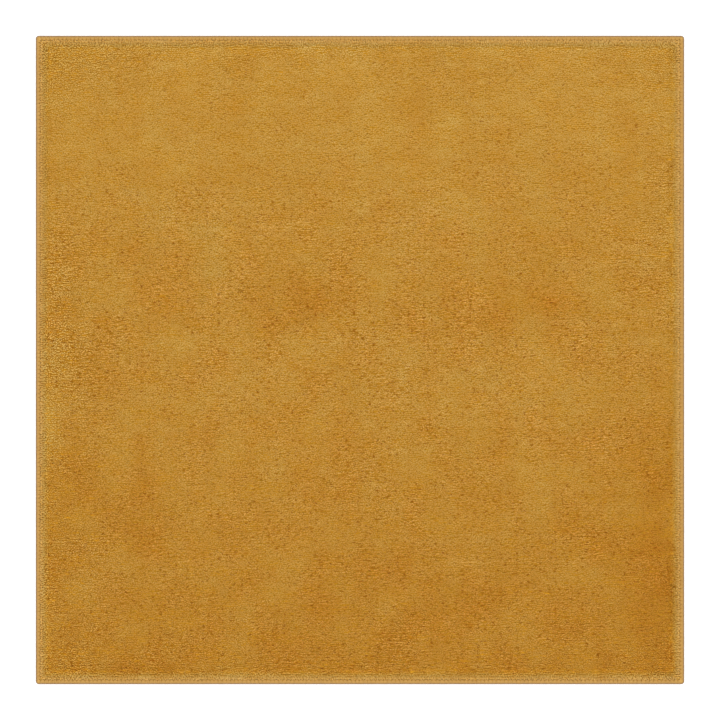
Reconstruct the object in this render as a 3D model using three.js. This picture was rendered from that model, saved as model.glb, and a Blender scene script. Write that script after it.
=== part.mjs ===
// A washable area rug: one square of plush pile cloth with a serged yarn edging.
// Millimetres, +Z up. The rug lies flat on z = 0, and the origin is the middle of its underside.
// Each solid is a row of closed loops that run round the rug, joined one to the next:
// out along the underside, up at the edge, and back in over the top.

import * as THREE from 'three';
import { ImprovedNoise } from 'three/addons/math/ImprovedNoise.js';

// Driving dimensions
const RUG_SIDE = 1200;
const CORNER_RADIUS = 6;
const SMALLEST_RADIUS = 1;
const CLOTH_THICKNESS = 2;
const YARN_THICKNESS = 1.3;
const EDGING_WIDTH = 7;
const GRIP_DEPTH = 4;
const PILE_TOP = 14.8;
const SEAT_GAP = 0.3;

// Where the cloth rises off the floor to reach the middle of the edging
const RISE_INSET = 24;

// Heights of the cloth where the edging grips it, and where its pile stands
const GRIP_FLOOR = YARN_THICKNESS;
const GRIP_CEILING = YARN_THICKNESS + CLOTH_THICKNESS + 2 * SEAT_GAP;
const CLOTH_LOW = GRIP_FLOOR + SEAT_GAP;
const CLOTH_HIGH = CLOTH_LOW + CLOTH_THICKNESS;
const EDGING_HEIGHT = GRIP_CEILING + YARN_THICKNESS;
const GRIP_INSET = EDGING_WIDTH - GRIP_DEPTH;
const ROOT_INSET = EDGING_WIDTH + SEAT_GAP;
const ROOT_TOP = EDGING_HEIGHT + SEAT_GAP;

// Steps round the outline
const ARC_STEPS = 5;
const ROUND_STEPS = 8;
const RIM_STEPS = 100;
const RIM_CORNER_STEPS = 3;
const FIELD_CELLS = 40;
const FIELD_INSET = 44;

// The rim of the pile, from the yarn inwards. Each row is a loop of points: inset
// from the rug's edge, height off the floor, how far its locks reach out and how far
// they lift it, how much of the field's lumps it takes on, and its corner radius.
const RIM = [
  { inset: ROOT_INSET, height: ROOT_TOP, reach: 0, lift: 0, lump: 0, radius: 3 },
  { inset: 5.2, height: 6.6, reach: 1.7, lift: 0.3, lump: 0, radius: 8 },
  { inset: 6.8, height: 9.5, reach: 2.3, lift: 0.6, lump: 0.1, radius: 9 },
  { inset: 11, height: 12.5, reach: 2.2, lift: 0.9, lump: 0.3, radius: 10 },
  { inset: 17.5, height: 14.2, reach: 1.6, lift: 0.8, lump: 0.6, radius: 10 },
  { inset: 24, height: 13.9, reach: 1.2, lift: -0.6, lump: 0.8, radius: 10 },
  { inset: 33, height: 14.7, reach: 0.8, lift: 0.5, lump: 1, radius: 8 },
];

// The crease behind the rim, where the pile parts. It is deeper along the
// right side and the near side, where the pile leans away from the rim.
const CREASE = { inset: 24, halfWidth: 8, shallow: 0.5, deep: 2.0, steady: 0.65, uneven: 0.7 };

// Soft unevenness of the pile: how far apart its lumps are, and how high.
const LUMPS = [
  { spacing: 165, height: 1.2 },
  { spacing: 74, height: 2.0 },
  { spacing: 43, height: 2.2 },
];
const LOCK_SPACING = 19;
const LOCK_CONTRAST = 2.4;

const MUSTARD = 0xbb8836;
const TAN = 0xc29252;

const noise = new ImprovedNoise();
const NOISE_SEED = 7.3;

// Height of the soft lumps at a place on the rug, above or below the mean
function lumpAt(x, y) {
  let height = 0;
  for (const lump of LUMPS) {
    height += lump.height * noise.noise(x / lump.spacing, y / lump.spacing, NOISE_SEED);
  }
  return height;
}

// How far the lock at a place on the rim stands out from its neighbours, from -1 to 1
function lockAt(x, y) {
  const lock = noise.noise(x / LOCK_SPACING, y / LOCK_SPACING, 2 * NOISE_SEED);
  return THREE.MathUtils.clamp(LOCK_CONTRAST * lock, -1, 1);
}

// Depth of the crease at a place on the rug
function creaseAt(x, y) {
  const half = RUG_SIDE / 2;
  const sides = [
    { inset: half - x, depth: CREASE.deep },
    { inset: half + y, depth: CREASE.deep },
    { inset: half + x, depth: CREASE.shallow },
    { inset: half - y, depth: CREASE.shallow },
  ];
  const nearest = sides.reduce((least, side) => (side.inset < least.inset ? side : least));
  const away = Math.abs(nearest.inset - CREASE.inset) / CREASE.halfWidth;
  if (away >= 1) {
    return 0;
  }
  const patch = noise.noise(x / LOCK_SPACING, y / LOCK_SPACING, 0);
  return nearest.depth * (CREASE.steady + CREASE.uneven * patch) * (1 - away * away);
}

// Points round a square outline with round corners, counter-clockwise from above.
// Each point keeps its outward direction, and its place counted in sides from 0 to 4.
function outline(inset, radius, sideSteps, cornerSteps) {
  const half = RUG_SIDE / 2 - inset;
  const straight = half - radius;
  const points = [];
  for (let side = 0; side < 4; side++) {
    const turn = (side * Math.PI) / 2;
    const cornerStart = side + 0.5 + (0.5 * straight) / half;
    for (let i = 0; i < sideSteps; i++) {
      const along = straight * ((2 * i) / sideSteps - 1);
      const place = side + 0.5 + (0.5 * along) / half;
      points.push(turned(half, along, 0, turn, place));
    }
    for (let i = 0; i < cornerSteps; i++) {
      const angle = ((Math.PI / 2) * i) / cornerSteps;
      const x = straight + radius * Math.cos(angle);
      const y = straight + radius * Math.sin(angle);
      const place = cornerStart + ((1 - straight / half) * i) / cornerSteps;
      points.push(turned(x, y, angle, turn, place));
    }
  }
  return points;
}

function turned(x, y, angle, turn, place) {
  const c = Math.cos(turn);
  const s = Math.sin(turn);
  const outward = new THREE.Vector2(Math.cos(angle + turn), Math.sin(angle + turn));
  return { x: x * c - y * s, y: x * s + y * c, outward, place };
}

// A loop at one height whose corners follow the rug's own rounded corner,
// and are square where it lies deeper in than that corner's radius
function edgeLoop(inset, z) {
  const radius = CORNER_RADIUS - inset;
  const round = radius > SMALLEST_RADIUS;
  const points = round ? outline(inset, radius, 1, ARC_STEPS) : outline(inset, 0, 1, 0);
  return points.map((point) => ({ ...point, z }));
}

// A loop of the pile's rim, with its locks reaching out and its lumps
function rimLoop(row) {
  const points = outline(row.inset, row.radius, RIM_STEPS, RIM_CORNER_STEPS);
  return points.map((point) => {
    const lock = lockAt(point.x, point.y);
    const x = point.x + row.reach * lock * point.outward.x;
    const y = point.y + row.reach * lock * point.outward.y;
    const z = row.height + row.lift * lock + row.lump * lumpAt(x, y) - creaseAt(x, y);
    return { x, y, z, place: point.place };
  });
}

// Collects points and triangles of one closed body
class Body {
  constructor() {
    this.positions = [];
    this.indices = [];
  }

  addPoint(x, y, z) {
    this.positions.push(x, y, z);
    return this.positions.length / 3 - 1;
  }

  addLoop(points) {
    return points.map((point) => ({
      index: this.addPoint(point.x, point.y, point.z),
      place: point.place,
    }));
  }

  // Joins two loops, whatever their counts, by always stepping along the one that lags
  join(from, to) {
    let i = 0;
    let j = 0;
    while (i < from.length || j < to.length) {
      const nextFrom = i < from.length ? placeAfter(from, i) : Infinity;
      const nextTo = j < to.length ? placeAfter(to, j) : Infinity;
      const a = from[i % from.length].index;
      const b = to[j % to.length].index;
      if (nextFrom <= nextTo) {
        i += 1;
        this.indices.push(a, from[i % from.length].index, b);
      } else {
        j += 1;
        this.indices.push(a, to[j % to.length].index, b);
      }
    }
  }

  geometry() {
    const geometry = new THREE.BufferGeometry();
    geometry.setAttribute('position', new THREE.Float32BufferAttribute(this.positions, 3));
    geometry.setIndex(this.indices);
    geometry.computeVertexNormals();
    return geometry;
  }
}

function placeAfter(loop, i) {
  return i + 1 < loop.length ? loop[i + 1].place : loop[0].place + 4;
}

// The field of the pile: a grid of soft lumps. Its border is given back as a loop.
function addField(body) {
  const half = RUG_SIDE / 2 - FIELD_INSET;
  const n = FIELD_CELLS;
  const grid = [];
  for (let i = 0; i <= n; i++) {
    const column = [];
    for (let j = 0; j <= n; j++) {
      const x = half * ((2 * i) / n - 1);
      const y = half * ((2 * j) / n - 1);
      column.push(body.addPoint(x, y, PILE_TOP + lumpAt(x, y)));
    }
    grid.push(column);
  }
  for (let i = 0; i < n; i++) {
    for (let j = 0; j < n; j++) {
      const a = grid[i][j];
      const b = grid[i + 1][j];
      const c = grid[i + 1][j + 1];
      const d = grid[i][j + 1];
      if ((i + j) % 2 === 0) {
        body.indices.push(a, b, c, a, c, d);
      } else {
        body.indices.push(a, b, d, b, c, d);
      }
    }
  }
  const sides = [
    (i) => grid[n][i],
    (i) => grid[n - i][n],
    (i) => grid[0][n - i],
    (i) => grid[i][0],
  ];
  const border = [];
  sides.forEach((pick, side) => {
    for (let i = 0; i < n; i++) {
      border.push({ index: pick(i), place: side + i / n });
    }
  });
  return border;
}

// The pile cloth: base cloth and pile in one solid. Its underside is flat on the
// floor, and rises near the edge to run into the edging.
function pileCloth() {
  const body = new Body();
  const tongue = GRIP_INSET + SEAT_GAP;
  const loops = [
    edgeLoop(RISE_INSET, 0),
    edgeLoop(ROOT_INSET + SEAT_GAP, CLOTH_LOW),
    edgeLoop(tongue, CLOTH_LOW),
    edgeLoop(tongue, CLOTH_HIGH),
    edgeLoop(ROOT_INSET, CLOTH_HIGH),
    ...RIM.map(rimLoop),
  ].map((points) => body.addLoop(points));
  const [a, b, c, d] = loops[0].map((point) => point.index);
  body.indices.push(a, c, b, a, d, c);
  for (let i = 0; i + 1 < loops.length; i++) {
    body.join(loops[i], loops[i + 1]);
  }
  body.join(loops[loops.length - 1], addField(body));
  return body.geometry();
}

// The serged edging: yarn wrapped round the cloth's edge, round on the outside,
// with a slot on the inside that the cloth runs into
function serging() {
  const body = new Body();
  const radius = EDGING_HEIGHT / 2;
  const ease = YARN_THICKNESS / 2;
  const section = [];
  for (let i = 0; i <= ROUND_STEPS; i++) {
    const angle = (Math.PI * i) / ROUND_STEPS;
    section.push({ inset: radius * (1 - Math.sin(angle)), z: radius * (1 - Math.cos(angle)) });
  }
  section.push(
    { inset: EDGING_WIDTH - ease, z: EDGING_HEIGHT },
    { inset: EDGING_WIDTH, z: EDGING_HEIGHT - ease },
    { inset: EDGING_WIDTH, z: GRIP_CEILING },
    { inset: GRIP_INSET, z: GRIP_CEILING },
    { inset: GRIP_INSET, z: GRIP_FLOOR },
    { inset: EDGING_WIDTH, z: GRIP_FLOOR },
    { inset: EDGING_WIDTH, z: ease },
    { inset: EDGING_WIDTH - ease, z: 0 },
  );
  const loops = section.map((point) => body.addLoop(edgeLoop(point.inset, point.z)));
  loops.forEach((loop, i) => body.join(loop, loops[(i + 1) % loops.length]));
  return body.geometry();
}

function piece(name, geometry, color, roughness) {
  const material = new THREE.MeshStandardMaterial({ color, roughness, metalness: 0 });
  const mesh = new THREE.Mesh(geometry, material);
  mesh.name = name;
  return mesh;
}

const rug = new THREE.Group();
rug.add(piece('pile_cloth', pileCloth(), MUSTARD, 1));
rug.add(piece('serged_edging', serging(), TAN, 0.9));

export default rug;
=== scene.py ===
"""The looks of a washable area rug: a base cloth with its cut pile, and a wrapped yarn edging.

Lengths are in metres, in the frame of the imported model: the rug lies on the floor at z = 0, the
middle of its underside is the origin, +X is to the right and +Y is away.
"""

import math

import bmesh
import bpy
import numpy as np
from bpy.props import FloatProperty, FloatVectorProperty, IntProperty, PointerProperty
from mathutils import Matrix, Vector, noise
from mathutils.bvhtree import BVHTree


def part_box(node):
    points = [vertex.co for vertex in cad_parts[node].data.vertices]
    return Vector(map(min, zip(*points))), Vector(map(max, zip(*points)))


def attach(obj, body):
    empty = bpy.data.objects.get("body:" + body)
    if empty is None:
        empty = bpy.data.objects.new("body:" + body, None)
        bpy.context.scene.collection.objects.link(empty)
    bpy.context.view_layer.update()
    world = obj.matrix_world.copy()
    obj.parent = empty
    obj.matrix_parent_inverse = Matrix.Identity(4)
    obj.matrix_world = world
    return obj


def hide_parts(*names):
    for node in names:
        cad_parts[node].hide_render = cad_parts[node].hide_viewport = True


bl_info = {
    "name": "Washable area rug",
    "version": (1, 0, 0),
    "blender": (4, 5, 0),
    "location": "3D View > Sidebar > Rug",
    "description": "Dresses a square plush rug with its pile, base cloth and wrapped edging",
    "category": "Object",
}

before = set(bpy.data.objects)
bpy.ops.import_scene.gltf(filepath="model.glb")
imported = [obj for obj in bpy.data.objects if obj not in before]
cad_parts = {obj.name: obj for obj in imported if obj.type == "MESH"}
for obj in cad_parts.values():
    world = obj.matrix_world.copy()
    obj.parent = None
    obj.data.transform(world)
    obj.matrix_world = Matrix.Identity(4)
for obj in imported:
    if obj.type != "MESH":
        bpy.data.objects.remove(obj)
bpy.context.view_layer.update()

MM = 0.001
BODY = "root"
PILE_SOLID = "pile_cloth"
EDGING_SOLID = "serged_edging"
EDGING_LOW, EDGING_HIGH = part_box(EDGING_SOLID)
HALF_SIDE = (EDGING_HIGH.x - EDGING_LOW.x) / 2
RUG_SIDE = 2 * HALF_SIDE

# The rug's corner and the edging's yarn, as in the frame
CORNER_RADIUS = 6 * MM
EDGING_TOP = EDGING_HIGH.z
YARN_THICKNESS = 1.3 * MM

# The base cloth: where its edge sits in the edging's slot, where the needle holds it,
# where the pile begins and where its underside reaches the floor
CLOTH_INSET = 3.3 * MM
CLOTH_LOW = 1.6 * MM
NEEDLE_INSET = 8.9 * MM
PILE_INSET = 9.8 * MM
RISE_INSET = 24 * MM
FLAT_CUT = RUG_SIDE - 2 * CLOTH_INSET

TINY = 1e-9


class Value:
    """A node's output, which Python's own operators join into Math nodes."""

    def __init__(self, nodes, socket):
        self.nodes = nodes
        self.socket = socket

    def also(self, name):
        """Another output of the same node."""
        return Value(self.nodes, pick(self.socket.node.outputs, name))

    def __add__(self, other):
        return self.nodes.maths("ADD", self, other)

    def __sub__(self, other):
        return self.nodes.maths("SUBTRACT", self, other)

    def __rsub__(self, other):
        return self.nodes.maths("SUBTRACT", other, self)

    def __mul__(self, other):
        return self.nodes.maths("MULTIPLY", self, other)

    def __truediv__(self, other):
        return self.nodes.maths("DIVIDE", self, other)

    def __rtruediv__(self, other):
        return self.nodes.maths("DIVIDE", other, self)

    def __pow__(self, other):
        return self.nodes.maths("POWER", self, other)

    def __mod__(self, other):
        return self.nodes.maths("FLOORED_MODULO", self, other)

    __radd__ = __add__
    __rmul__ = __mul__


def pick(sockets, key):
    """The socket in use with that name, or at that place."""
    used = [socket for socket in sockets if socket.enabled]
    if isinstance(key, int):
        return used[key]
    return next(socket for socket in used if socket.name == key)


class Nodes:
    """Builds one node tree."""

    def __init__(self, tree):
        self.tree = tree

    def node(self, kind, settings=None, sockets=None, output=0):
        """Adds a node: its settings first, then its sockets' values or links."""
        made = self.tree.nodes.new(kind)
        for name, setting in (settings or {}).items():
            setattr(made, name, setting)
        for key, content in (sockets or {}).items():
            self.feed(pick(made.inputs, key), content)
        return Value(self, pick(made.outputs, output))

    def feed(self, socket, content):
        if isinstance(content, list):
            for value in content:
                self.tree.links.new(value.socket, socket)
        elif isinstance(content, Value):
            self.tree.links.new(content.socket, socket)
        else:
            socket.default_value = content

    def maths(self, operation, *terms):
        return self.node("ShaderNodeMath", {"operation": operation}, dict(enumerate(terms)))

    def vectors(self, operation, *terms):
        return self.node("ShaderNodeVectorMath", {"operation": operation}, dict(enumerate(terms)))

    def vector(self, x=0.0, y=0.0, z=0.0):
        return self.node("ShaderNodeCombineXYZ", None, {"X": x, "Y": y, "Z": z})

    def parts(self, vector):
        """The x, y and z of a vector."""
        split = self.node("ShaderNodeSeparateXYZ", None, {"Vector": vector})
        return split, split.also("Y"), split.also("Z")

    def fade(self, value, low, high, to_low=0.0, to_high=1.0):
        """Carries a value from one range over to another, smoothly."""
        ends = {"Value": value, "From Min": low, "From Max": high, "To Min": to_low, "To Max": to_high}
        return self.node("ShaderNodeMapRange", {"interpolation_type": "SMOOTHSTEP"}, ends)

    def mix(self, factor, first, second):
        """Mixes two colours. The factor is the share of the second."""
        sockets = {"Factor": factor, "A": first, "B": second}
        return self.node("ShaderNodeMix", {"data_type": "RGBA"}, sockets)

    def grain(self, place, size, detail):
        """Noise with features of that size. The place is in metres."""
        sockets = {"Vector": place, "Scale": 1 / size, "Detail": detail}
        return self.node("ShaderNodeTexNoise", None, sockets, "Fac")

    def streaks(self, place, look):
        """Noise about 0, stretched over the place, at the strength that its look gives."""
        place = self.vectors("MULTIPLY", place, look["stretch"])
        return (self.grain(place, look["size"], look["detail"]) - 0.5) * look["strength"]

    def scaled(self, colour, *shares):
        """A colour times one share, or times one for each of its parts."""
        if len(shares) == 1:
            shares = shares * 3
        return self.vectors("MULTIPLY", colour, self.vector(*shares))

    def inset(self, x, y):
        """How far a place lies in from the rug's straight sides."""
        return HALF_SIDE - self.maths("MAXIMUM", self.maths("ABSOLUTE", x), self.maths("ABSOLUTE", y))


class Recipe(Nodes):
    """A geometry tree with named inputs, which makes one piece."""

    def __init__(self, name):
        super().__init__(bpy.data.node_groups.new(name, "GeometryNodeTree"))
        self.tree.interface.new_socket("Geometry", in_out="OUTPUT", socket_type="NodeSocketGeometry")
        self.source = self.tree.nodes.new("NodeGroupInput")
        self.result = self.tree.nodes.new("NodeGroupOutput")
        self.keys = {}

    def ask(self, name, kind="Float"):
        """Adds a named input."""
        item = self.tree.interface.new_socket(name, in_out="INPUT", socket_type="NodeSocket" + kind)
        self.keys[name] = item.identifier
        return Value(self, self.source.outputs[name])

    def read(self, name, kind="FLOAT"):
        """A named attribute of the geometry."""
        return self.node("GeometryNodeInputNamedAttribute", {"data_type": kind}, {"Name": name})

    def keep(self, geometry, name, value, kind="FLOAT", domain="POINT"):
        """Stores a value on the geometry by name."""
        settings = {"data_type": kind, "domain": domain}
        sockets = {"Geometry": geometry, "Name": name, "Value": value}
        return self.node("GeometryNodeStoreNamedAttribute", settings, sockets)

    def chance(self, low, high, seed):
        """A random number for each point."""
        sockets = {"Min": low, "Max": high, "Seed": seed}
        return self.node("FunctionNodeRandomValue", {"data_type": "FLOAT"}, sockets)

    def move(self, geometry, offset):
        return self.node("GeometryNodeSetPosition", None, {"Geometry": geometry, "Offset": offset})

    def stretched(self, vector, by):
        """A vector times a number."""
        made = self.vectors("SCALE", vector)
        self.feed(pick(made.socket.node.inputs, "Scale"), by)
        return made

    def place_on(self, points, template, turn, size):
        """Puts a turned and sized copy of the template at each point, as plain geometry."""
        body = self.node("GeometryNodeObjectInfo", None, {"Object": template}, "Geometry")
        placed = {"Points": points, "Instance": body, "Rotation": turn, "Scale": size}
        copies = self.node("GeometryNodeInstanceOnPoints", None, placed)
        return self.node("GeometryNodeRealizeInstances", None, {"Geometry": copies})

    def keep_map(self, geometry, wide, high):
        """Gives each copy its own cell, of that size, in the OFBake map."""
        spot = self.vectors("ADD", self.read("cell", "FLOAT_VECTOR"), self.read("flat", "FLOAT_VECTOR"))
        mapped = self.vectors("MULTIPLY", spot, (wide, high, 0))
        return self.keep(geometry, "OFBake", mapped, "FLOAT2", "CORNER")

    def finish(self, geometry, material):
        geometry = self.node("GeometryNodeSetShadeSmooth", None, {"Geometry": geometry})
        sockets = {"Geometry": geometry, "Material": material}
        self.feed(self.result.inputs[0], self.node("GeometryNodeSetMaterial", None, sockets))

    def make(self, name, inputs):
        """Runs the recipe and leaves its result as a plain mesh."""
        holder = new_object(name + "_recipe", bpy.data.meshes.new(name))
        modifier = holder.modifiers.new("Recipe", "NODES")
        modifier.node_group = self.tree
        for key, value in inputs.items():
            modifier[self.keys[key]] = value
        evaluated = holder.evaluated_get(bpy.context.evaluated_depsgraph_get())
        mesh = bpy.data.meshes.new_from_object(evaluated)
        bpy.data.objects.remove(holder)
        if not mesh.polygons:
            raise RuntimeError(f"the recipe for {name} made nothing")
        return new_object(name, mesh)


def new_object(name, data):
    made = bpy.data.objects.new(name, data)
    bpy.context.scene.collection.objects.link(made)
    return made


def remove_template(template):
    mesh = template.data
    bpy.data.objects.remove(template)
    bpy.data.meshes.remove(mesh)


def new_material(name):
    """A material with its node builder and the shader's own sockets."""
    material = bpy.data.materials.new(name)
    material.use_nodes = True
    shader = material.node_tree.nodes["Principled BSDF"]
    return material, Nodes(material.node_tree), shader


def rgba(colour, share=1.0):
    """A colour for a socket, or a darker share of it."""
    return (*(share * part for part in colour), 1)


def attribute(nodes, name, output="Fac"):
    return nodes.node("ShaderNodeAttribute", {"attribute_name": name}, None, output)


def object_place(nodes):
    return nodes.node("ShaderNodeTexCoord", None, None, "Object")


def bump(nodes, height, distance, strength):
    sockets = {"Height": height, "Distance": distance, "Strength": strength}
    return nodes.node("ShaderNodeBump", None, sockets)


def inset_at(x, y):
    """How far a place lies in from the rug's edge, with the rug's rounded corners."""
    reach = HALF_SIDE - CORNER_RADIUS
    across = np.abs(x) - reach
    up = np.abs(y) - reach
    corner = np.hypot(np.maximum(across, 0), np.maximum(up, 0))
    return CORNER_RADIUS - corner - np.minimum(np.maximum(across, up), 0)


def outward_at(x, y):
    """The direction out of the rug at a place, which fans round its corners."""
    reach = HALF_SIDE - FAN_RADIUS
    across = np.abs(x) - reach
    up = np.abs(y) - reach
    corner = (across > 0) & (up > 0)
    length = np.hypot(across, up) + TINY
    to_x = np.where(corner, across / length, across > up)
    to_y = np.where(corner, up / length, across <= up)
    return np.sign(x) * to_x, np.sign(y) * to_y


# Smooth noise over the rug: how far apart its features are, its strength and its seed
DRIFTS = {
    "crease wander": {"spacing": 70 * MM, "strength": 2 * MM, "seed": 4.4},
    "crease patches": {"spacing": 35 * MM, "strength": 0.9, "seed": 1.9},
    "wide roughness": {"spacing": 60 * MM, "strength": 1.0, "seed": 13.7},
    "small roughness": {"spacing": 28 * MM, "strength": 0.6, "seed": 19.1},
    "wide tone": {"spacing": 170 * MM, "strength": 0.015, "seed": 3.1},
    "small tone": {"spacing": 60 * MM, "strength": 0.01, "seed": 5.7},
    "broken lines": {"spacing": 90 * MM, "strength": 1.0, "seed": 8.3},
    "sway to x": {"spacing": 30 * MM, "strength": 0.2 * MM, "seed": 11.3},
    "sway to y": {"spacing": 30 * MM, "strength": 0.2 * MM, "seed": 17.9},
}


def drift(x, y, name):
    """Smooth noise about 0 at arrays of places."""
    row = DRIFTS[name]
    places = zip(x / row["spacing"], y / row["spacing"])
    return row["strength"] * np.array([noise.noise((u, v, row["seed"])) for u, v in places])


# Base cloth

# Top of the cloth and of the dense foot of its pile, from the edge inwards
BED = [
    {"inset": 3.3, "top": 3.6},
    {"inset": 9.2, "top": 3.6},
    {"inset": 11, "top": 4.6},
    {"inset": 13, "top": 6.2},
    {"inset": 18, "top": 9.4},
    {"inset": 26, "top": 11.0},
]

# How far the tips of the pile reach out over their roots, from the edge inwards
SPLAY = [
    {"inset": 9.8, "reach": 1.0},
    {"inset": 12, "reach": 3.0},
    {"inset": 16, "reach": 5.0},
    {"inset": 20, "reach": 4.5},
    {"inset": 24, "reach": 1.8},
    {"inset": 28, "reach": 0.0},
]
FAN_RADIUS = 40 * MM

# How far the tips lie over, away and a little to the left, inside the rim
LIE = {"x": -0.3 * MM, "y": 1.1 * MM, "from": 20 * MM, "over": 12 * MM}

# The pile parts in a crease inside the rim, deepest along the right side and the near side. Its dim
# is painted shade in the crease.
CREASE = {
    "inset": 25 * MM, "half_width": 3 * MM, "share": 0.6, "elsewhere": 0.25,
    "depth": 0.3, "dim": 0.17, "rough": 0.7, "reach": 2.2 * MM, "behind": 5 * MM,
}

# The rim's own texture and tone, and where the field's begin
RIM_TONE = {"from": 17 * MM, "over": 9 * MM, "rough": 0.25, "shade": 0.03}

# How rough the pile looks, from the far side to the near side
ROUGH = [
    {"y": 600, "rough": 0.5},
    {"y": 370, "rough": 0.6},
    {"y": 230, "rough": 1.1},
    {"y": 110, "rough": 1.4},
    {"y": 0, "rough": 1.35},
    {"y": -60, "rough": 1.1},
    {"y": -200, "rough": 1.25},
    {"y": -600, "rough": 1.45},
]

# Where the cloth's grid has its lines near the rim, and how large its cells are inside
RIM_INSETS = (3.3, 6, 9.2, 11, 13, 15.5, 18, 20, 22.5, 25, 27.5, 31, 36, 43)
FIELD_CELL = 14 * MM

# The least height of a tip over its foot, and how deep the foot lies inside the rim
TIP_LEAST = 1.5 * MM
FOOT = {"from": 22 * MM, "over": 10 * MM, "depth": 3.8 * MM}

# The foot's look: size and depth of its tufts, how dark their hollows get and its colour near the rim,
# both with painted shade
TUFTS = {"size": 4 * MM, "from": 0.3, "to": 0.7, "dark": 0.55, "bump": 1.5 * MM}
FOOT_RIM = {"from": 16 * MM, "to": 26 * MM, "foot": 0.65, "dim": 0.7}

# Soft patches of light and dark pile, painted shade where the pile lies differently, in mm. Some
# come again further to the right.
PATCHES = [
    {"x": 0, "y": -640, "long": 1500, "wide": 360, "tone": -0.16, "again": False},
    {"x": 0, "y": 40, "long": 1500, "wide": 210, "tone": 0.025, "again": False},
    {"x": 0, "y": 600, "long": 1500, "wide": 90, "tone": 0.03, "again": False},
    {"x": 600, "y": -290, "long": 120, "wide": 260, "tone": -0.23, "again": False},
    {"x": 570, "y": -540, "long": 130, "wide": 110, "tone": -0.06, "again": False},
    {"x": 500, "y": 320, "long": 90, "wide": 90, "tone": -0.03, "again": False},
    {"x": -570, "y": 500, "long": 70, "wide": 130, "tone": -0.03, "again": False},
    {"x": -98, "y": 112, "long": 58, "wide": 48, "tone": -0.2, "again": True},
    {"x": -178, "y": 102, "long": 22, "wide": 62, "tone": -0.13, "again": True},
    {"x": -372, "y": 95, "long": 30, "wide": 60, "tone": -0.08, "again": True},
    {"x": -507, "y": -252, "long": 90, "wide": 75, "tone": -0.07, "again": False},
    {"x": 57, "y": -391, "long": 45, "wide": 40, "tone": -0.07, "again": False},
    {"x": -295, "y": 267, "long": 65, "wide": 65, "tone": 0.045, "again": True},
    {"x": -183, "y": -39, "long": 55, "wide": 50, "tone": 0.06, "again": True},
    {"x": -10, "y": 528, "long": 80, "wide": 160, "tone": 0.02, "again": True},
    {"x": -452, "y": -409, "long": 80, "wide": 50, "tone": 0.05, "again": False},
]
PATCH_STEP = 435

# Faint lines down the rug, in mm
COLUMNS = [
    {"x": -406, "wide": 8, "tone": -0.02},
    {"x": -231, "wide": 8, "tone": -0.025},
    {"x": 28, "wide": 8, "tone": -0.02},
    {"x": 204, "wide": 8, "tone": -0.025},
]


def column(table, name):
    return np.array([row[name] for row in table]) * MM


def crease_at(x, y, inset, behind=0.0):
    """How deep the crease is at a place, or how strongly the pile leans away that far behind it."""
    to_x, to_y = outward_at(x, y)
    middle = CREASE["inset"] + drift(x, y, "crease wander") + behind
    across = np.exp(-(((inset - middle) / (CREASE["half_width"] + behind / 2)) ** 2))
    patchy = np.clip(CREASE["share"] + drift(x, y, "crease patches"), 0, 1)
    return across * patchy * np.where(np.maximum(to_x, -to_y) > 0.5, 1, CREASE["elsewhere"])


def rough_at(x, y, inset):
    """How deep and strong the pile's texture is at a place."""
    rough = np.interp(-y, -column(ROUGH, "y"), [row["rough"] for row in ROUGH])
    rough = rough * (1 + drift(x, y, "wide roughness") + drift(x, y, "small roughness"))
    inside = np.clip((inset - RIM_TONE["from"]) / RIM_TONE["over"], 0, 1)
    rough = RIM_TONE["rough"] + (rough - RIM_TONE["rough"]) * inside
    return rough + CREASE["rough"] * crease_at(x, y, inset)


def shade_at(x, y, inset):
    """How much lighter or darker than the mean the pile is, mostly painted shade where the pile lies
    differently, partly tone that varies at random. The rim is alike on all sides.
    """
    shade = drift(x, y, "wide tone") + drift(x, y, "small tone")
    for patch in PATCHES:
        for step in (0, PATCH_STEP) if patch["again"] else (0,):
            across = (x / MM - patch["x"] - step) / patch["long"]
            up = (y / MM - patch["y"]) / patch["wide"]
            shade += patch["tone"] * np.exp(-across * across - up * up)
    for line in COLUMNS:
        across = (x / MM - line["x"]) / line["wide"]
        shade += line["tone"] * np.exp(-across * across) * (1 + drift(x, y, "broken lines"))
    inside = np.clip((inset - RIM_TONE["from"]) / RIM_TONE["over"], 0, 1)
    return RIM_TONE["shade"] + (shade - RIM_TONE["shade"]) * inside


def nap_at(x, y, inset):
    """How far the tips of the pile lie over to x and to y."""
    to_x, to_y = outward_at(x, y)
    reach = np.interp(inset, column(SPLAY, "inset"), column(SPLAY, "reach"))
    reach = reach - CREASE["reach"] * crease_at(x, y, inset, CREASE["behind"])
    lie = np.clip((inset - LIE["from"]) / LIE["over"], 0, 1)
    lie_x = lie * (LIE["x"] + drift(x, y, "sway to x"))
    lie_y = lie * (LIE["y"] + drift(x, y, "sway to y"))
    return reach * to_x + lie_x, reach * to_y + lie_y


def height_at(x, y):
    """Height of the frame's pile at arrays of places, and 0 beside it."""
    solid = BVHTree.FromObject(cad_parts[PILE_SOLID], bpy.context.evaluated_depsgraph_get())
    heights = np.zeros(len(x))
    for i, (u, v) in enumerate(zip(x, y)):
        hit = solid.ray_cast(Vector((u, v, 1)), Vector((0, 0, -1)))[0]
        if hit:
            heights[i] = hit.z
    return heights


def bed_at(x, y, inset):
    """Top of the cloth and of the pile's dense foot, evenly deep under the tips inside the rim."""
    rim = np.interp(inset, column(BED, "inset"), column(BED, "top"))
    inside = np.clip((inset - FOOT["from"]) / FOOT["over"], 0, 1)
    return rim + (height_at(x, y) - FOOT["depth"] - rim) * inside


def cloth_lines():
    """Where the grid's lines cross the cloth, from one side to the other, closer near the rim."""
    rim = np.array(RIM_INSETS) * MM - HALF_SIDE
    cells = round((-2 * rim[-1]) / FIELD_CELL)
    field = np.linspace(rim[-1], -rim[-1], cells + 1)
    return np.concatenate([rim[:-1], field, -rim[-2::-1]])


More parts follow.
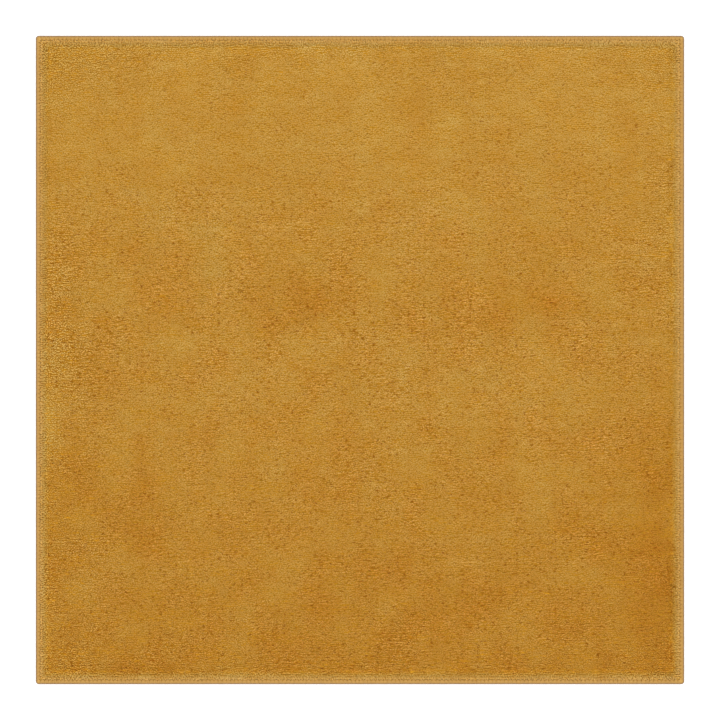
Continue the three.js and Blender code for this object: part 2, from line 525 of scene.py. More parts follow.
def rounded(x, y):
    """Draws the grid's corner cells in to a round corner."""
    reach = HALF_SIDE - CORNER_RADIUS - 2 * MM
    across = np.abs(x) - reach
    up = np.abs(y) - reach
    corner = (across > 0) & (up > 0)
    scale = np.where(corner, np.maximum(across, up) / (np.hypot(across, up) + TINY), 1)
    round_x = np.where(corner, reach + across * scale, np.abs(x))
    round_y = np.where(corner, reach + up * scale, np.abs(y))
    return np.sign(x) * round_x, np.sign(y) * round_y


def slab_faces(count):
    """Faces of a closed slab on a square grid: its top, its underside and its edge."""
    grid = np.arange(count * count).reshape(count, count)
    under = grid + count * count
    top = np.stack([grid[:-1, :-1], grid[1:, :-1], grid[1:, 1:], grid[:-1, 1:]], -1).reshape(-1, 4)
    underside = np.stack([under[:-1, :-1], under[:-1, 1:], under[1:, 1:], under[1:, :-1]], -1)
    underside = underside.reshape(-1, 4)
    rim = np.concatenate([grid[:-1, 0], grid[-1, :-1], grid[:0:-1, -1], grid[0, :0:-1]])
    ahead = np.roll(rim, -1)
    below = count * count
    edge = np.stack([rim, rim + below, ahead + below, ahead], -1)
    return top, underside, edge


def make_cloth():
    """The base cloth and the dense foot of its pile, as one closed sheet."""
    lines = cloth_lines()
    x, y = (axis.ravel() for axis in np.meshgrid(lines, lines, indexing="ij"))
    x, y = rounded(x, y)
    inset = inset_at(x, y)
    bed = bed_at(x, y, inset)
    low = np.interp(inset, [NEEDLE_INSET, RISE_INSET], [CLOTH_LOW, 0])
    top, underside, edge = slab_faces(len(lines))
    points = np.concatenate([np.stack([x, y, bed], -1), np.stack([x, y, low], -1)])
    faces = np.concatenate([top, underside, edge])
    mesh = bpy.data.meshes.new("rug_cloth")
    mesh.from_pydata(points.tolist(), [], faces.tolist())
    mesh.shade_smooth()
    mesh.materials.append(foot_material())
    mesh.materials.append(backing_material())
    backing = np.zeros(len(faces), np.int32)
    backing[len(top):] = 1
    mesh.polygons.foreach_set("material_index", backing)
    nap_x, nap_y = nap_at(x, y, inset)
    tip = np.maximum(height_at(x + nap_x, y + nap_y) - bed, TIP_LEAST)
    tip = tip * (1 - CREASE["depth"] * crease_at(x, y, inset))
    store(mesh, "nap", np.stack([nap_x, nap_y, tip], -1))
    # Painted shade in the crease
    dim = CREASE["dim"] * crease_at(x, y, inset)
    store(mesh, "tone", np.stack([shade_at(x, y, inset), rough_at(x, y, inset), dim], -1))
    return new_object("rug_cloth", mesh)


def store(mesh, name, values):
    """Keeps vectors on the cloth's upper points, and zeros on its underside."""
    full = np.zeros((len(mesh.vertices), 3))
    full[: len(values)] = values
    mesh.attributes.new(name, "FLOAT_VECTOR", "POINT").data.foreach_set("vector", full.ravel())


def foot_material():
    """The foot of the pile, seen down between its tips, darkened with painted shade."""
    material, nodes, shader = new_material("pile_foot")
    settings = bpy.context.scene.rug_pile
    place = object_place(nodes)
    tufts = nodes.grain(place, TUFTS["size"], 3.0)
    x, y, _ = nodes.parts(place)
    inset = nodes.inset(x, y)
    # Painted shade: near the rim the foot takes a darkened share of the rim's colour
    inner = nodes.fade(inset, FOOT_RIM["from"], FOOT_RIM["to"], FOOT_RIM["foot"], 1.0)
    rim = rgba(settings.rim_colour, FOOT_RIM["dim"])
    colour = nodes.mix(inner, rim, rgba(settings.shaded_foot_colour))
    # Painted shade in the hollows between the foot's tufts
    light = nodes.fade(tufts, TUFTS["from"], TUFTS["to"], TUFTS["dark"], 1.0)
    colour = nodes.scaled(colour, light)
    nodes.feed(shader.inputs["Base Color"], colour)
    nodes.feed(shader.inputs["Normal"], bump(nodes, tufts, TUFTS["bump"], 0.8))
    shader.inputs["Roughness"].default_value = 0.95
    shader.inputs["Specular IOR Level"].default_value = 0.1
    return material


def backing_material():
    """The woven underside: two sets of flat threads, one over the other."""
    material, nodes, shader = new_material("woven_backing")
    settings = bpy.context.scene.rug_cloth
    place = object_place(nodes)
    x, y, _ = nodes.parts(place)
    turn = 2 * math.pi / settings.backing_pitch
    weft = nodes.maths("SINE", x * turn)
    warp = nodes.maths("SINE", y * turn)
    weave = weft * warp * 0.5 + 0.5
    threads = nodes.grain(place, 9 * MM, 3.0)
    height = weave * 0.8 + threads * 0.2
    shadow = rgba(settings.backing_colour, 0.6)
    colour = nodes.mix(nodes.fade(height, 0.1, 0.7), shadow, rgba(settings.backing_colour))
    nodes.feed(shader.inputs["Base Color"], colour)
    nodes.feed(shader.inputs["Normal"], bump(nodes, height, 0.4 * MM, 0.7))
    shader.inputs["Roughness"].default_value = 0.9
    return material


# Pile

# The pile is made in strips, each with its own map of cells for its locks
STRIPS = 8
BAKE_CELLS = 156
SKY = 40 * MM

# A lock: how straight its lower part stands, how far it is jogged, turned and swollen by chance,
# and over which insets the rim's way of standing gives over to the field's
BEND = 1.5
JOG = {"pair": 0.25, "along": 0.3, "across": 0.35}
TURN = 0.3
SWELL = {"least": 0.88, "most": 1.15, "rim": 1.2, "from": 11 * MM, "to": 15 * MM}
FIELD = {"from": 8 * MM, "to": 24 * MM}
HEADING = {"from": 18 * MM, "to": 28 * MM}

# How tall a lock stands: by its own lot, by its place in its clump and by how rough the pile is
LOT_MIDDLE = 0.69
LOT_EVEN = 0.4
HEIGHT = {"base": 0.85, "lot": 0.2, "clump": 1.1, "smooth": 0.7, "rough": 0.35, "less": 0.2}

# How far the fibres in a lock wander to the side, and over what distance
WANDER = {"size": 10 * MM, "reach": 6 * MM}

# The pile's grain: each noise with its stretch, size and strength
WISPS = {"stretch": (1, 1, 1), "size": 3.4 * MM, "detail": 1.0, "strength": 0.1}
LENGTHWAYS = {"stretch": (1, 0.06, 1), "size": 25 * MM, "detail": 2.0, "strength": 0.18}
SIDEWAYS = {"stretch": (0.02, 1, 1), "size": 25 * MM, "detail": 3.0, "strength": 0.15}
CLOUDS = {"stretch": (1, 1, 1), "size": 60 * MM, "detail": 3.0, "strength": 0.31}
# The pits' darkening is painted shade
PITS = {"stretch": (0.7, 1, 1), "size": 2.5 * MM, "from": 0.36, "to": 0.22, "depth": 0.75}
FIBRE = {"stretch": (0.5, 1, 0.4), "size": 1.9 * MM, "strength": 0.25, "bump": 0.5 * MM}
HUE = {"size": 140 * MM, "from": 0.35, "to": 0.65}

# How much a lock's own lot darkens it, as tone that varies at random and as painted shade on short
# locks, how much painted shade darkens the gap beside its clump, and how dark it may get
LOT_TONE = 0.12
GAP_SHADE = 0.5
DARKEST = 0.3

# Over which insets the rim's colour and shaded foot give over to the field's, and how far up a
# lock the painted shade of its foot gives over to its tip's colour
RIM_COLOUR = {"from": 9 * MM, "to": 21 * MM}
SHADED_FOOT = {"from": 10 * MM, "to": 26 * MM, "share": 0.2}
TIP_COLOUR = {"from": 0.25, "to": 0.95}

# Shade turns the colour too: red fades least and blue most. Rough pile is a little lighter in all
# three, painted light against its deeper shade, and the rim a little redder.
FINE_SHADE = (0.55, 2.4)
WIDE_SHADE = (0.33, 2.6)
ROUGH_TONE = 0.03
ROUGH_LEAST = 0.55
ROUGH_GAIN = (0.12, 0.105, 0.09)
RIM_WARMTH = {"from": 15 * MM, "to": 22 * MM, "gain": 0.05}


# A lock's sides lie round the middle of its cell, and its foot in the cell's corner
LOCK_SIDES = 3
LOCK_MAP = {"middle": 0.5, "reach": 0.44, "foot_middle": 0.04, "foot_reach": 0.01}


def make_lock():
    """One lock of pile, a unit wide and tall: three sides that meet at its tip, and its foot."""
    mesh = bmesh.new()
    rise = mesh.verts.layers.float.new("rise")
    foot = []
    for side in range(LOCK_SIDES):
        angle = 2 * math.pi * side / LOCK_SIDES
        foot.append(mesh.verts.new((math.cos(angle), math.sin(angle), 0)))
    tip = mesh.verts.new((0, 0, 1))
    tip[rise] = 1
    flat = mesh.loops.layers.uv.new("flat")
    for side in range(LOCK_SIDES):
        face = mesh.faces.new((foot[side], foot[(side + 1) % LOCK_SIDES], tip))
        for corner in face.loops:
            corner[flat].uv = corner.vert.co.xy * LOCK_MAP["reach"] + Vector((LOCK_MAP["middle"],) * 2)
    for corner in mesh.faces.new(foot[::-1]).loops:
        spot = corner.vert.co.xy * LOCK_MAP["foot_reach"]
        corner[flat].uv = spot + Vector((LOCK_MAP["foot_middle"],) * 2)
    data = bpy.data.meshes.new("lock")
    mesh.to_mesh(data)
    mesh.free()
    return new_object("lock", data)


def pile_recipe():
    """Rows of locks on the cloth: each stands on its foot, leans with the nap, and gathers in a clump."""
    r = Recipe("pile_rows")
    cloth = r.ask("Cloth", "Object")
    lock = r.ask("Lock", "Object")
    rows = r.ask("Rows", "Int")
    locks = r.ask("Locks a row", "Int")
    row_pitch = r.ask("Row pitch")
    lock_pitch = r.ask("Lock pitch")
    middle = r.ask("Strip middle")
    first_row = r.ask("First row", "Int")
    wave = r.ask("Wave")
    wave_length = r.ask("Wave length")
    first_inset = r.ask("First inset")
    length = r.ask("Lock length")
    girth = r.ask("Lock width")
    clump_length = r.ask("Clump length")
    clump_width = r.ask("Clump width")
    pull = r.ask("Pull")
    stray = r.ask("Stray")
    seed = r.ask("Seed", "Int")
    material = r.ask("Material", "Material")

    sizes = {"Size X": (locks - 1) * lock_pitch, "Size Y": (rows - 1) * row_pitch}
    grid = r.node("GeometryNodeMeshGrid", None, {**sizes, "Vertices X": locks, "Vertices Y": rows})
    row = r.node("GeometryNodeInputIndex") % rows + first_row
    odd = row % 2
    jog_x = odd * 2 * JOG["pair"] - JOG["pair"] + r.chance(-JOG["along"], JOG["along"], seed)
    jog_y = middle + r.chance(-JOG["across"], JOG["across"], seed + 1) * row_pitch
    level = r.vectors("ADD", r.node("GeometryNodeInputPosition"), r.vector(0.0, middle, 0.0))
    jog_y = jog_y + (r.grain(level, wave_length, 1.0) - 0.5) * wave
    grid = r.keep(grid, "pair", odd * 2 - 1)
    grid = r.move(grid, r.vector(jog_x * lock_pitch, jog_y, SKY))

    target = r.node("GeometryNodeObjectInfo", None, {"Object": cloth}, "Geometry")
    down = {"Target Geometry": target, "Ray Direction": (0, 0, -1), "Ray Length": 2 * SKY}
    vector = {"data_type": "FLOAT_VECTOR"}
    for name in ("nap", "tone"):
        wanted = {**down, "Attribute": r.read(name, "FLOAT_VECTOR")}
        found = r.node("GeometryNodeRaycast", vector, wanted, "Attribute")
        grid = r.keep(grid, name, found, "FLOAT_VECTOR")
    landed = {"Geometry": grid, "Position": found.also("Hit Position")}
    grid = r.node("GeometryNodeSetPosition", None, landed)
    _, rough, _ = r.parts(r.read("tone", "FLOAT_VECTOR"))
    x, y, _ = r.parts(r.node("GeometryNodeInputPosition"))
    inset = r.inset(x, y)
    less = {"operation": "LESS_THAN"}
    outside = r.node("FunctionNodeCompare", less, {"A": inset, "B": first_inset})
    grid = r.node("GeometryNodeDeleteGeometry", None, {"Geometry": grid, "Selection": outside})

    position = r.node("GeometryNodeInputPosition")
    clump_size = r.vector(clump_length, clump_width, 1.0)
    in_clumps = r.vectors("DIVIDE", position, clump_size)
    voronoi = {"feature": "F1", "voronoi_dimensions": "2D"}
    cells = {"Vector": in_clumps, "Scale": 1.0}
    clump = r.node("ShaderNodeTexVoronoi", voronoi, cells, "Position")
    gathered = r.vectors("MULTIPLY", r.vectors("SUBTRACT", clump, in_clumps), clump_size)
    gather_x, gather_y, _ = r.parts(gathered)
    from_middle = clump.also("Distance")
    nap_x, nap_y, tip = r.parts(r.read("nap", "FLOAT_VECTOR"))
    inner = r.fade(inset, FIELD["from"], FIELD["to"])
    relief = inner * rough
    pair = r.read("pair") * row_pitch * r.ask("Row pull")
    lean_x = nap_x + gather_x * pull * inner + r.chance(-1.0, 1.0, seed + 2) * stray
    lean_y = nap_y + (gather_y * pull - pair * relief) * inner + r.chance(-1.0, 1.0, seed + 3) * stray
    lot = r.chance(0.0, 1.0, seed + 6) ** r.ask("Evenness")
    lot = LOT_MIDDLE + (lot - LOT_MIDDLE) * (LOT_EVEN + relief * (1 - LOT_EVEN))
    gap = from_middle ** 4.0 * r.ask("Dome")
    height = tip * (HEIGHT["base"] + lot * HEIGHT["lot"]) * (HEIGHT["clump"] - gap * relief)
    height = height * (HEIGHT["smooth"] + (rough * HEIGHT["rough"] - HEIGHT["less"]) * inner)
    index = r.node("GeometryNodeInputIndex")
    cell = r.vector(index % BAKE_CELLS, r.maths("FLOOR", index / BAKE_CELLS), 0.0)
    grid = r.keep(grid, "lean", r.vector(lean_x, lean_y, 0.0), "FLOAT_VECTOR")
    grid = r.keep(grid, "cell", cell, "FLOAT_VECTOR")
    grid = r.keep(grid, "lot", lot)
    grid = r.keep(grid, "inset", inset)

    swell = r.chance(SWELL["least"], SWELL["most"], seed + 7)
    swell = swell * r.fade(inset, SWELL["from"], SWELL["to"], SWELL["rim"], 1.0)
    rim = r.fade(inset, HEADING["from"], HEADING["to"], 1.0, 0.0)
    heading = r.maths("ARCTAN2", nap_y * rim, nap_x * rim + (1 - rim) * MM)
    heading = heading + r.chance(-TURN, TURN, seed + 8)
    turn = r.node("FunctionNodeEulerToRotation", None, {"Euler": r.vector(0.0, 0.0, heading)})
    steeper = (r.maths("ABSOLUTE", nap_y) - r.maths("ABSOLUTE", nap_x)) * rim
    grid = r.keep(grid, "across", r.maths("GREATER_THAN", steeper, 0.5 * MM))
    # Kept for the material's painted shade beside clumps
    grid = r.keep(grid, "gap", gap * relief)
    size = r.vector(swell * length, swell * girth, height)
    pile = r.place_on(grid, lock, turn, size)
    pile = r.move(pile, r.stretched(r.read("lean", "FLOAT_VECTOR"), r.read("rise") ** BEND))

    position = r.node("GeometryNodeInputPosition")
    x, y, z = r.parts(position)
    across = r.read("across")
    wander = r.grain(position, WANDER["size"], 1.0) * WANDER["reach"]
    fibre = r.vector(x + (y - x) * across, y + (x - y) * across + wander, z)
    pile = r.keep(pile, "fibre", fibre, "FLOAT_VECTOR")
    pile = r.keep_map(pile, 1 / BAKE_CELLS, 1 / BAKE_CELLS)
    r.finish(pile, material)
    return r


def pile_material():
    """Soft cut yarn: light at its tips, darker with painted shade at its foot, in its pits and beside its
    clumps, with fine fibres.
    """
    material, nodes, shader = new_material("mustard_pile")
    settings = bpy.context.scene.rug_pile
    place = object_place(nodes)
    rise = attribute(nodes, "rise")
    lot = attribute(nodes, "lot")
    gap = attribute(nodes, "gap")
    shade, rough, dim = nodes.parts(attribute(nodes, "tone", "Vector"))
    inset = attribute(nodes, "inset")
    along = nodes.vectors("MULTIPLY", attribute(nodes, "fibre", "Vector"), FIBRE["stretch"])
    fibres = nodes.grain(along, FIBRE["size"], 1.0)
    hue = nodes.fade(nodes.grain(place, HUE["size"], 1.0), HUE["from"], HUE["to"])
    tip = nodes.mix(hue, rgba(settings.warm_colour), rgba(settings.green_colour))
    inner = nodes.fade(inset, RIM_COLOUR["from"], RIM_COLOUR["to"])
    tip = nodes.mix(inner, rgba(settings.rim_colour), tip)
    like_tip = nodes.fade(inset, SHADED_FOOT["from"], SHADED_FOOT["to"], SHADED_FOOT["share"], 0.0)
    foot = nodes.mix(like_tip, rgba(settings.shaded_foot_colour), tip)
    # Painted shade: each lock darkens down towards its foot, deep in the pile
    colour = nodes.mix(nodes.fade(rise, TIP_COLOUR["from"], TIP_COLOUR["to"]), foot, tip)

    # Painted shade in the pits, beside clumps and on short locks; the fibres and wisps vary the tone
    pits = nodes.grain(nodes.vectors("MULTIPLY", along, PITS["stretch"]), PITS["size"], 0.0)
    pits = nodes.fade(pits, PITS["from"], PITS["to"], 0.0, PITS["depth"])
    fine = (lot - LOT_MIDDLE) * LOT_TONE + (fibres - 0.5) * FIBRE["strength"]
    fine = fine + nodes.streaks(place, WISPS) - pits
    light = nodes.maths("MAXIMUM", 1 - gap * GAP_SHADE + fine * rough, DARKEST)
    red, blue = FINE_SHADE
    colour = nodes.scaled(colour, light ** red, light, light ** blue)

    # Painted shade where the pile lies differently, from the cloth's shade, with streaks of tone
    deep = 1 + shade - (rough - 1) * ROUGH_TONE
    for look in (CLOUDS, LENGTHWAYS, SIDEWAYS):
        deep = deep + nodes.streaks(place, look)
    red, blue = WIDE_SHADE
    colour = nodes.scaled(colour, deep ** red, deep, deep ** blue)

    # Painted shade in the crease, and painted light that offsets the deeper shade of rough pile
    more = nodes.maths("MAXIMUM", rough, ROUGH_LEAST) - 1
    gains = [1 - dim + more * gain for gain in ROUGH_GAIN]
    gains[0] += nodes.fade(inset, RIM_WARMTH["from"], RIM_WARMTH["to"], RIM_WARMTH["gain"], 0.0)
    colour = nodes.scaled(colour, *gains)
    nodes.feed(shader.inputs["Base Color"], colour)
    nodes.feed(shader.inputs["Normal"], bump(nodes, fibres, FIBRE["bump"], 0.6))
    shader.inputs["Roughness"].default_value = 0.9
    shader.inputs["Specular IOR Level"].default_value = 0.0
    shader.inputs["Sheen Weight"].default_value = 0.15
    shader.inputs["Sheen Roughness"].default_value = 0.5
    shader.inputs["Sheen Tint"].default_value = rgba(settings.warm_colour)
    return material


# Edging

STRANDS_A_STITCH = 3
STRAND_SIDES = 5
STRAND_CELLS = 44
CORE_BAND = 0.03

# Middle of a strand as it wraps the edge, from the needle over and round to the underside, in mm
OVER = [
    {"inset": 8.9, "z": 3.6},
    {"inset": 7.4, "z": 4.3},
    {"inset": 5.2, "z": 4.6},
]
ROUND = {"inset": 2.6, "z": 2.6, "radius": 1.95, "steps": 5}
UNDER = [{"inset": 7.0, "z": 0.65}]
STRAND_WIDTH = 2.75 * MM

# The needle draws a strand in from the first inset on, most at the second
GRIP = {"from": 5 * MM, "over": 3.5 * MM}

# Section of the fold under the strands, in mm: how far it lies under the ring's face, its inner
# end, and the slot that the cloth's edge sits in
FOLD = {"under": 0.35, "inset": 5.8, "height": 5.2, "end": 4.2, "arc_steps": 6}
SLOT = {"inset": 3.0, "low": 1.3, "high": 3.9}
FOLD_WRAP = {"outside": 0.5, "top": 0.36, "shaded_from": 1.5}
FOLD_STEPS = 40
FOLD_CORNER_STEPS = 4
FOLD_LEAST_RADIUS = 0.4 * MM


def strand_path():
    """Inset and height of the strand's middle, ring by ring."""
    path = [(row["inset"], row["z"]) for row in OVER]
    for step in range(ROUND["steps"] + 1):
        angle = math.pi / 2 - math.pi * step / ROUND["steps"]
        inset = ROUND["inset"] - ROUND["radius"] * math.cos(angle)
        path.append((inset, ROUND["z"] + ROUND["radius"] * math.sin(angle)))
    path += [(row["inset"], row["z"]) for row in UNDER]
    return [Vector((inset, z)) * MM for inset, z in path]


def make_strand():
    """One wrapped strand: x along the edge, y in from the edge and z up."""
    path = strand_path()
    mesh = bmesh.new()
    grip = mesh.verts.layers.float.new("grip")
    wrap = mesh.verts.layers.float.new("wrap")
    rings = []
    for i, middle in enumerate(path):
        before = path[max(i - 1, 0)]
        after = path[min(i + 1, len(path) - 1)]
        along = (after - before).normalized()
        out = Vector((along.y, -along.x))
        share = i / (len(path) - 1)
        ring = []
        for side in range(STRAND_SIDES):
            angle = 2 * math.pi * (side + 0.25) / STRAND_SIDES
            across = math.cos(angle) * STRAND_WIDTH / 2
            place = middle + out * math.sin(angle) * YARN_THICKNESS / 2
            vert = mesh.verts.new((across, place.x, place.y))
            drawn = min(max((middle.x - GRIP["from"]) / GRIP["over"], 0), 1)
            vert[grip] = drawn if i < len(OVER) else 0
            vert[wrap] = share
            ring.append(vert)
        rings.append(ring)
    flat = mesh.loops.layers.uv.new("flat")
    for i in range(len(rings) - 1):
        for side in range(STRAND_SIDES):
            ahead = (side + 1) % STRAND_SIDES
            corners = (rings[i][side], rings[i][ahead], rings[i + 1][ahead], rings[i + 1][side])
            face = mesh.faces.new(corners)
            spots = ((side, i), (side + 1, i), (side + 1, i + 1), (side, i + 1))
            for corner, (u, v) in zip(face.loops, spots):
                corner[flat].uv = (0.06 + 0.86 * u / STRAND_SIDES, 0.1 + 0.86 * v / (len(rings) - 1))
    for ring in (rings[0][::-1], rings[-1]):
        face = mesh.faces.new(ring)
        for corner in face.loops:
            corner[flat].uv = (0.03 + 3 * corner.vert.co.x, 0.03 + 3 * (corner.vert.co.y - ring[0].co.y))
    bmesh.ops.recalc_face_normals(mesh, faces=mesh.faces)
    data = bpy.data.meshes.new("strand")
    mesh.to_mesh(data)
    mesh.free()
    return new_object("strand", data)


def core_section():
    """Section of the fold under the strands, anticlockwise seen with the rug on the right."""
    under = FOLD["under"]
    outer = ROUND["z"] - under
    points = [(FOLD["inset"], under), (ROUND["inset"], under)]
    for step in range(1, FOLD["arc_steps"]):
        angle = -math.pi / 2 + math.pi * step / FOLD["arc_steps"]
        inset = ROUND["inset"] - outer * math.cos(angle)
        points.append((inset, ROUND["z"] + outer * math.sin(angle)))
    points += [(ROUND["inset"], FOLD["height"] - under), (FOLD["inset"], FOLD["end"])]
    points += [(FOLD["inset"], SLOT["high"]), (SLOT["inset"], SLOT["high"])]
    points += [(SLOT["inset"], SLOT["low"]), (FOLD["inset"], SLOT["low"])]
    return [Vector(point) * MM for point in points]


def core_wrap(point):
    """How far round the edge a point of the fold lies, as the strands over it are."""
    if point.y < ROUND["z"] * MM:
        return FOLD_WRAP["outside"]
    insets = [FOLD_WRAP["shaded_from"], ROUND["inset"], FOLD["inset"]]
    return float(np.interp(point.x / MM, insets, [FOLD_WRAP["outside"], FOLD_WRAP["top"], 0.0]))


def make_core():
    """The closed fold that the strands lie on, round all four sides."""
    section = core_section()
    mesh = bmesh.new()
    mesh.verts.layers.float.new("grip")
    wrap = mesh.verts.layers.float.new("wrap")
    loops = []
    for point in section:
        loop = []
        radius = max(CORNER_RADIUS - point.x, FOLD_LEAST_RADIUS)
        for x, y in round_square(HALF_SIDE - point.x, radius, FOLD_STEPS):
            vert = mesh.verts.new((x, y, point.y))
            vert[wrap] = core_wrap(point)
            loop.append(vert)
        loops.append(loop)
    flat = mesh.loops.layers.uv.new("OFBake")
    count = len(loops[0])
    for i, loop in enumerate(loops):
        other = loops[(i + 1) % len(loops)]
        for j in range(count):
            ahead = (j + 1) % count
            face = mesh.faces.new((loop[j], loop[ahead], other[ahead], other[j]))
            spots = ((j, i), (j + 1, i), (j + 1, i + 1), (j, i + 1))
            for corner, (u, v) in zip(face.loops, spots):
                corner[flat].uv = (u / count, 1 - CORE_BAND * (1 - v / len(loops)) * 0.9)
    bmesh.ops.recalc_face_normals(mesh, faces=mesh.faces)
    data = bpy.data.meshes.new("core")
    mesh.to_mesh(data)
    mesh.free()
    return new_object("core", data)


def round_square(half, radius, steps):
    """Points round a square with round corners, anticlockwise from above."""
    points = []
    straight = half - radius
    for side in range(4):
        turn = side * math.pi / 2
        spots = [(half, straight * (2 * i / steps - 1)) for i in range(steps)]
        for i in range(FOLD_CORNER_STEPS):
            angle = math.pi / 2 * i / FOLD_CORNER_STEPS
            spots.append((straight + radius * math.cos(angle), straight + radius * math.sin(angle)))
        cosine = math.cos(turn)
        sine = math.sin(turn)
        points += [(x * cosine - y * sine, x * sine + y * cosine) for x, y in spots]
    return points


def edging_recipe():
    """Strands wrapped side by side round the edge, drawn together in threes at the needle's holes."""
    r = Recipe("wrapped_edging")
    strand = r.ask("Strand", "Object")
    core = r.ask("Core", "Object")
    side = r.ask("Side")
    radius = r.ask("Corner radius")
    count = r.ask("Strands", "Int")
    pitch = r.ask("Strand pitch")
    pinch = r.ask("Pinch")
    slant = r.ask("Slant")
    seed = r.ask("Seed", "Int")
    material = r.ask("Material", "Material")

    square = r.node("GeometryNodeCurvePrimitiveQuadrilateral", None, {"Width": side, "Height": side})
    rounding = {"Curve": square, "Count": 12, "Radius": radius}
    square = r.node("GeometryNodeFilletCurve", {"mode": "POLY"}, rounding)
    points = r.node("GeometryNodeCurveToPoints", {"mode": "COUNT"}, {"Curve": square, "Count": count})
    tangent = points.also("Tangent")
    axes = {"Primary Axis": tangent, "Secondary Axis": (0, 0, 1)}
    facing = r.node("FunctionNodeAxesToRotation", None, axes)
    facing.socket.node.primary_axis = "X"
    facing.socket.node.secondary_axis = "Z"
    index = r.node("GeometryNodeInputIndex")
    turn = index % STRANDS_A_STITCH - (STRANDS_A_STITCH - 1) / 2
    cell = r.vector(index % STRAND_CELLS, r.maths("FLOOR", index / STRAND_CELLS), 0.0)
    points = r.keep(points, "along", tangent, "FLOAT_VECTOR")
    points = r.keep(points, "turn", turn)
    points = r.keep(points, "cell", cell, "FLOAT_VECTOR")
    points = r.keep(points, "lot", r.chance(0.0, 1.0, seed))
    swell = r.chance(0.93, 1.07, seed + 1)
    edging = r.place_on(points, strand, facing, r.vector(swell, 1.0, swell))
    slide = r.read("turn") * r.read("grip") * pinch * pitch * -1 + (r.read("wrap") - 0.5) * slant
    edging = r.move(edging, r.stretched(r.read("along", "FLOAT_VECTOR"), slide))
    edging = r.keep_map(edging, 1 / STRAND_CELLS, (1 - CORE_BAND) / STRAND_CELLS)
    fold = r.node("GeometryNodeObjectInfo", None, {"Object": core}, "Geometry")
    edging = r.node("GeometryNodeJoinGeometry", None, {"Geometry": [edging, fold]})
    r.finish(edging, material)
    return r


def edging_material():
    """Wrapped yarn: tan on top, browner and darker with painted shade round the outside, with painted
    light where the pile shades its inner part and painted shade where the needle draws it in.
    """
    material, nodes, shader = new_material("tan_yarn")
    settings = bpy.context.scene.rug_edging
    place = object_place(nodes)
    wrap = attribute(nodes, "wrap")
    lot = attribute(nodes, "lot")
    fibres = nodes.grain(place, 0.9 * MM, 3.0)
    # Painted shade: the yarn darkens to its browner outside colour round the edge
    outside = nodes.fade(wrap, 0.3, 0.5)
    colour = nodes.mix(outside, rgba(settings.yarn_colour), rgba(settings.shaded_outer_colour))
    light = 1 + (lot - 0.5) * 0.08 + (fibres - 0.5) * 0.4
    # Painted light on the inner top, where the pile shades it, and painted shade where the needle draws
    # the yarn into its hole
    light = light + nodes.fade(wrap, 0.12, 0.36, 0.3, 0.0) - nodes.fade(wrap, 0.02, 0.12, 0.4, 0.0)
    colour = nodes.scaled(colour, light)
    nodes.feed(shader.inputs["Base Color"], colour)
    nodes.feed(shader.inputs["Normal"], bump(nodes, fibres, 0.3 * MM, 0.5))
    shader.inputs["Roughness"].default_value = 0.85
    shader.inputs["Specular IOR Level"].default_value = 0.2
    shader.inputs["Sheen Weight"].default_value = 0.15
    shader.inputs["Sheen Tint"].default_value = rgba(settings.yarn_colour)
    return material


# What a user may change


def a_length(name, description, default, least=0.0):
    return FloatProperty(
        name=name, description=description, default=default, min=least,
        subtype="DISTANCE", unit="LENGTH", precision=5,
    )


def a_share(name, description, default):
    return FloatProperty(
        name=name, description=description, default=default, min=0, max=1, subtype="FACTOR",
    )


def a_colour(name, description, default):
    return FloatVectorProperty(
        name=name, description=description, default=default, min=0, max=1, subtype="COLOR", size=3,
    )


class RugClothSettings(bpy.types.PropertyGroup):
    backing_colour: a_colour("Backing colour", "Colour of the woven underside", (0.55, 0.44, 0.27))
    backing_pitch: a_length(
        "Backing pitch", "Distance between threads of the woven underside", 2.4 * MM, 0.5 * MM,
    )


class RugPileSettings(bpy.types.PropertyGroup):
    row_pitch: a_length("Row pitch", "Distance between rows of pile", 3.2 * MM, 2 * MM)
    lock_pitch: a_length("Lock pitch", "Distance between locks along a row", 2.45 * MM, 2 * MM)
    lock_length: a_length(
        "Lock length", "How far a lock reaches from its middle, along its nap", 2.9 * MM, 1 * MM,
    )
    lock_width: a_length(
        "Lock width", "How far a lock reaches from its middle, across its nap", 1.9 * MM, 1 * MM,
    )
    clump_length: a_length("Clump length", "Length of a clump of locks, along the rows", 10 * MM, 2 * MM)
    clump_width: a_length("Clump width", "Width of a clump of locks, across the rows", 6.5 * MM, 2 * MM)
    pull: a_share("Pull", "How strongly locks lean together in a clump", 0.1)
    dome: a_share("Dome", "How much lower the locks stand towards the rim of a clump", 0.5)
    wave: a_length("Wave", "How far a row of pile wanders to either side", 14 * MM)
    wave_length: a_length("Wave length", "Over what distance a row of pile wanders", 34 * MM, 1 * MM)
    row_pull: a_share("Row pull", "How strongly two rows lean together into a tufted one", 0.08)
    evenness: FloatProperty(
        name="Evenness", description="How few of the locks are short and dark",
        min=0.1, max=2, default=0.45,
    )
    stray: a_length("Stray", "How far a lock's tip may stray by itself", 0.4 * MM)
    warm_colour: a_colour(
        "Warm tip", "Colour of the pile's tips where they are warmest", (0.742, 0.517, 0.162),
    )
    green_colour: a_colour(
        "Green tip", "Colour of the pile's tips where they are greenest", (0.734, 0.52, 0.162),
    )
    rim_colour: a_colour(
        "Rim", "Colour of the pile's tips where they hang over the rim", (0.715, 0.458, 0.14),
    )
    # The foot's colour is painted shade of the pile down between its tips
    shaded_foot_colour: a_colour("Foot", "Colour of the pile down between its tips", (0.56, 0.27, 0.014))
    seed: IntProperty(name="Seed", description="Start of the pile's random numbers", default=7)


